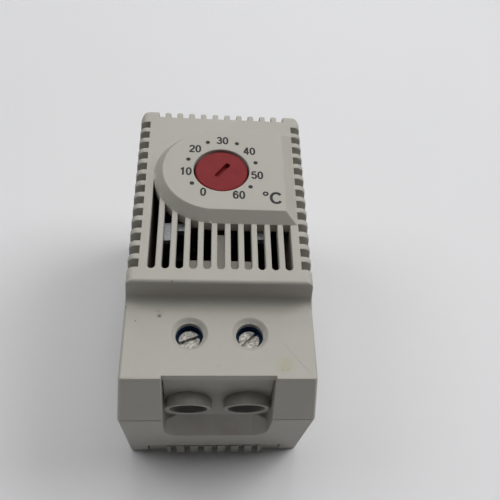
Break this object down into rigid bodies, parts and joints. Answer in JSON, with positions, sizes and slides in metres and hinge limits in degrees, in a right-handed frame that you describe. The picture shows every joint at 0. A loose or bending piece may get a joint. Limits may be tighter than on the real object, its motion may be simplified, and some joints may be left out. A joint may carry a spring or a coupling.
{
  "type": "cabinet temperature controller",
  "caption": "Compact rail-mounted bimetal thermostat for a control cabinet, with a slotted dial under a temperature scale, ribbed vented cover, screw terminals and cable inlets.",
  "frame": {"origin": "middle of the rear plane that the feet beside the rail channel end in; the part lies on its back", "axes": "+Z out of the front face, +Y along the length towards the upper end (away from the cable inlets), +X to the right seen from the front; the rail runs along X"},
  "size_m": [0.033, 0.06, 0.043],
  "materials": {
    "grey_plastic": "fine matte moulding texture",
    "grey_latch": "fine matte moulding texture",
    "red_plastic": "matte",
    "blue_plastic": "satin",
    "white_nylon": "satin",
    "zinc_steel": "zinc plated, satin",
    "spring_steel": "drawn wire",
    "brass": "turned",
    "contact_silver": "satin",
    "bimetal": "rolled",
    "magnet_alloy": "ground"
  },
  "bodies": {
    "case": {"base": "grey_plastic", "cover": "grey_plastic", "screw_bush": "brass", "bridge": "zinc_steel", "bridge_screws": "zinc_steel", "carrier": "white_nylon", "carrier_screws": "zinc_steel", "anchor_bracket": "zinc_steel", "fixed_contact": "contact_silver", "contact_bar": "brass", "feed_bar": "brass", "bar_rivets": "brass", "magnet": "magnet_alloy", "terminal_block": "blue_plastic", "latch_spring": "spring_steel", "range_spring": "spring_steel"},
    "latch": {"rail_latch": "grey_latch"},
    "dial": {"dial": "red_plastic"},
    "adjuster": {"adjusting_screw": "brass"},
    "arm": {"bimetal_arm": "bimetal", "moving_contact": "contact_silver"},
    "left_screw": {"terminal_screw_left": "zinc_steel"},
    "right_screw": {"terminal_screw_right": "zinc_steel"},
    "left_clamp": {"clamp_cage_left": "zinc_steel"},
    "right_clamp": {"clamp_cage_right": "zinc_steel"}
  },
  "joints": [
    {"name": "dial_turn", "type": "hinge", "parent": "case", "child": "dial", "pos_m": [0, 0.0106, 0.0385], "axis": [0, 0, 1], "range_deg": [-113.2, 186.8]},
    {"name": "screw_lift", "type": "slide", "parent": "dial", "child": "adjuster", "axis": [0, 0, 1], "range_m": [-0.00022, 0.000363], "deforming": ["range_spring"]},
    {"name": "left_screw_turn", "type": "hinge", "parent": "case", "child": "left_screw", "pos_m": [-0.005, -0.0188, 0.03], "axis": [0, 0, 1], "range_deg": [-1761, 0]},
    {"name": "right_screw_turn", "type": "hinge", "parent": "case", "child": "right_screw", "pos_m": [0.005, -0.0188, 0.03], "axis": [0, 0, 1], "range_deg": [-1761, 0]},
    {"name": "left_clamp_lift", "type": "slide", "parent": "case", "child": "left_clamp", "axis": [0, 0, 1], "range_m": [0, 0.0022]},
    {"name": "right_clamp_lift", "type": "slide", "parent": "case", "child": "right_clamp", "axis": [0, 0, 1], "range_m": [0, 0.0022]},
    {"name": "latch_pull", "type": "slide", "parent": "case", "child": "latch", "axis": [0, -1, 0], "range_m": [0, 0.002], "stiffness_N_per_m": 150, "springref_m": -0.008, "deforming": ["latch_spring"]},
    {"name": "arm_lift", "type": "hinge", "parent": "case", "child": "arm", "pos_m": [0, 0.0201, 0.0183], "axis": [-1, 0, 0], "range_deg": [0, 2], "stiffness_Nm_per_rad": 0.01, "springref_deg": -11.46, "deforming": ["range_spring"]}
  ],
  "couplings": [
    {"joint": "dial_turn", "follows": "screw_lift", "rad_per_m": 8975.9},
    {"joint": "left_screw_turn", "follows": "left_clamp_lift", "rad_per_m": -13963},
    {"joint": "right_screw_turn", "follows": "right_clamp_lift", "rad_per_m": -13963}
  ]
}
